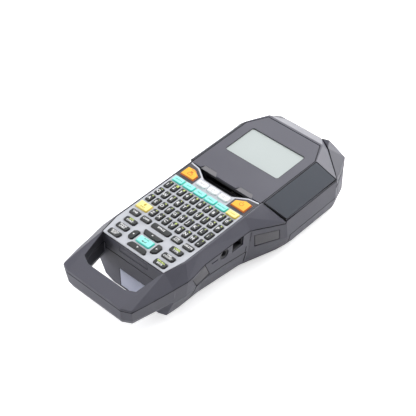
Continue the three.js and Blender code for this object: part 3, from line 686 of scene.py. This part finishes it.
iconFor("enter_key", ["tealInk", "darkInk"], drawReturn)
iconFor("print_key", ["rustInk"], drawPrinter)
iconFor("power_key", ["rustInk"], drawPower)
iconFor("shift_key", ["ochreInk"], drawShift)
iconFor("menu_key_1", ["greyInk"], drawBack)
iconFor("menu_key_2", ["greyInk"], drawLoop)
iconFor("menu_key_3", ["greyInk"], drawLines)
arrowTurns = dict(arrow_up_key=0, arrow_left_key=90, arrow_down_key=180, arrow_right_key=270)
for node, turn in arrowTurns.items():
    iconFor(node, ["whiteInk"], lambda bm, x, y: addArrow(bm, x, y, 1.25, turn))
print("legends made")


# dark printed fields of the keypad film round the two large keys
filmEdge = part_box("keypad_overlay")[1].x / mm
surroundField = dict(outline=[(22.8, 4.7), (filmEdge, 4.7), (filmEdge, 27.6), (34.0, 25.8), (22.8, 18.6)],
                     hole=[(24.8, 8.2), (43.2, 8.2), (43.2, 21.8), (34.6, 22.7), (24.8, 16.8)],
                     lift=0.004, thick=0.05)


def makeSurround(name, side):
    # five corners outside, five inside, bridged and given a little thickness
    bm = bmesh.new()
    base = panelTop + surroundField["lift"] * mm
    loops = []
    for corners in (surroundField["outline"], surroundField["hole"]):
        verts = [bm.verts.new((side * x * mm, y * mm, base)) for x, y in corners]
        loops.append([bm.edges.new((verts[i - 1], verts[i])) for i in range(len(verts))])
    bmesh.ops.bridge_loops(bm, edges=loops[0] + loops[1])
    pushOut(bm, bm.faces[:], (0, 0, surroundField["thick"] * mm))
    bmesh.ops.recalc_face_normals(bm, faces=bm.faces)
    finishPiece(name, meshOf(bm, name), "housing", ["surround"], smooth=False)


makeSurround("surround_right", 1)
makeSurround("surround_left", -1)


# dark liner on the walls of the display window, its height shorter than the window is deep
linerSettings = dict(wall=0.55, corner=2, reveal=0.28, lift=0.02, shorter=0.12)


def makeWindowLiner():
    low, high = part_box("lcd_window")
    wall, corner, reveal = (linerSettings[word] * mm for word in ("wall", "corner", "reveal"))
    x, near, far = high.x + reveal, low.y - reveal, high.y + reveal
    base = high.z + linerSettings["lift"] * mm
    bm = bmesh.new()
    corners = [(x - corner, near), (x, near + corner), (x, far - corner), (x - corner, far),
               (corner - x, far), (-x, far - corner), (-x, near + corner), (corner - x, near)]
    face = bm.faces.new([bm.verts.new((px, py, base)) for px, py in corners])
    face.normal_update()
    bmesh.ops.inset_region(bm, faces=[face], thickness=wall, use_boundary=True, use_even_offset=True)
    bmesh.ops.delete(bm, geom=[face], context="FACES")
    pushOut(bm, bm.faces[:], (0, 0, panelTop - high.z - linerSettings["shorter"] * mm))
    bmesh.ops.recalc_face_normals(bm, faces=bm.faces)
    finishPiece("display_liner", meshOf(bm, "display_liner"), "housing", ["black"],
                smooth=False)


makeWindowLiner()
print("keypad film and display dressed")


# rubber pads in the hand recesses, set a little forward and up so that a gap shows behind and below, dark
# with the painted shade on the recess floor
padSettings = dict(
    thick=0.95, lift=0.03, edge=0.3, outside=0.2,
    grip_pad=[(-58.4, 57.9), (-52.5, 42.4), (-71.0, 40.9), (-77.7, 54.6)],
    shoulder_pad=[(10.6, 49.6), (38.8, 41.2), (39.4, 29.2), (11.9, 34.3)],
)


def recessFloor(side, y, z):
    # where the recess's bottom lies, seen from well outside
    start = Vector((side * padSettings["outside"], y * mm, z * mm))
    return nodeTrees["lower_casing"].ray_cast(start, Vector((-side, 0, 0)))[0].x


def makeGripPad(name, corners, side):
    bm = bmesh.new()
    lift = side * padSettings["lift"] * mm
    verts = [bm.verts.new((recessFloor(side, y, z) + lift, y * mm, z * mm)) for y, z in corners]
    pushOut(bm, [bm.faces.new(verts)], (side * padSettings["thick"] * mm, 0, 0))
    bmesh.ops.recalc_face_normals(bm, faces=bm.faces)
    bmesh.ops.bevel(bm, geom=bm.edges[:], offset=padSettings["edge"] * mm, segments=3, profile=0.5,
                    affect="EDGES", material=-1)
    finishPiece(name, meshOf(bm, name), "housing", ["grip"])


for padName in ("grip_pad", "shoulder_pad"):
    makeGripPad(padName + "_right", padSettings[padName], 1)
    makeGripPad(padName + "_left", padSettings[padName], -1)
print("hand pads made")


# casing screws, their heads in the underside of the body and of the handle
screwSettings = dict(
    radius=2.6, recess=1.1, taper=0.01, deep=0.7, high=0.8, proud=0.3, segments=24,
    places=[(14, -78.5), (31, 12), (40, 44)],
)


def makeScrews():
    # a flat head pointing down, its driver recess drawn in, one for each place and its mirror
    bm = bmesh.new()
    base = (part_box("battery_cover")[0].z / mm - screwSettings["proud"]) * mm
    for x, y in screwSettings["places"]:
        for side in (1, -1):
            place = Matrix.Translation((side * x * mm, y * mm, base))
            made = bmesh.ops.create_circle(bm, cap_ends=True, radius=screwSettings["radius"] * mm,
                                           segments=screwSettings["segments"], matrix=place)
            head = made["verts"][0].link_faces[0]
            pushOut(bm, [head], (0, 0, screwSettings["high"] * mm), use_keep_orig=True)
            edge = screwSettings["radius"] - screwSettings["recess"]
            bmesh.ops.inset_individual(bm, faces=[head], thickness=edge * mm, use_even_offset=True)
            bmesh.ops.inset_individual(bm, faces=[head], thickness=screwSettings["taper"] * mm, depth=0)
            bmesh.ops.translate(bm, verts=head.verts, vec=(0, 0, screwSettings["deep"] * mm))
    bmesh.ops.recalc_face_normals(bm, faces=bm.faces)
    finishPiece("casing_screws", meshOf(bm, "casing_screws"), "housing", ["steel"], smooth=False)


makeScrews()
print("screws made")


# floor
def makeFloor():
    bm = bmesh.new()
    bmesh.ops.create_grid(bm, x_segments=1, y_segments=1, size=studio["floorSize"] / 2)
    bmesh.ops.translate(bm, verts=bm.verts, vec=(0, 0, -studio["floorDrop"]))
    floor = bpy.data.objects.new("floor", meshOf(bm, "floor"))
    floor.data.materials.append(looks["floor"])
    bpy.context.scene.collection.objects.link(floor)


makeFloor()
print("floor made")
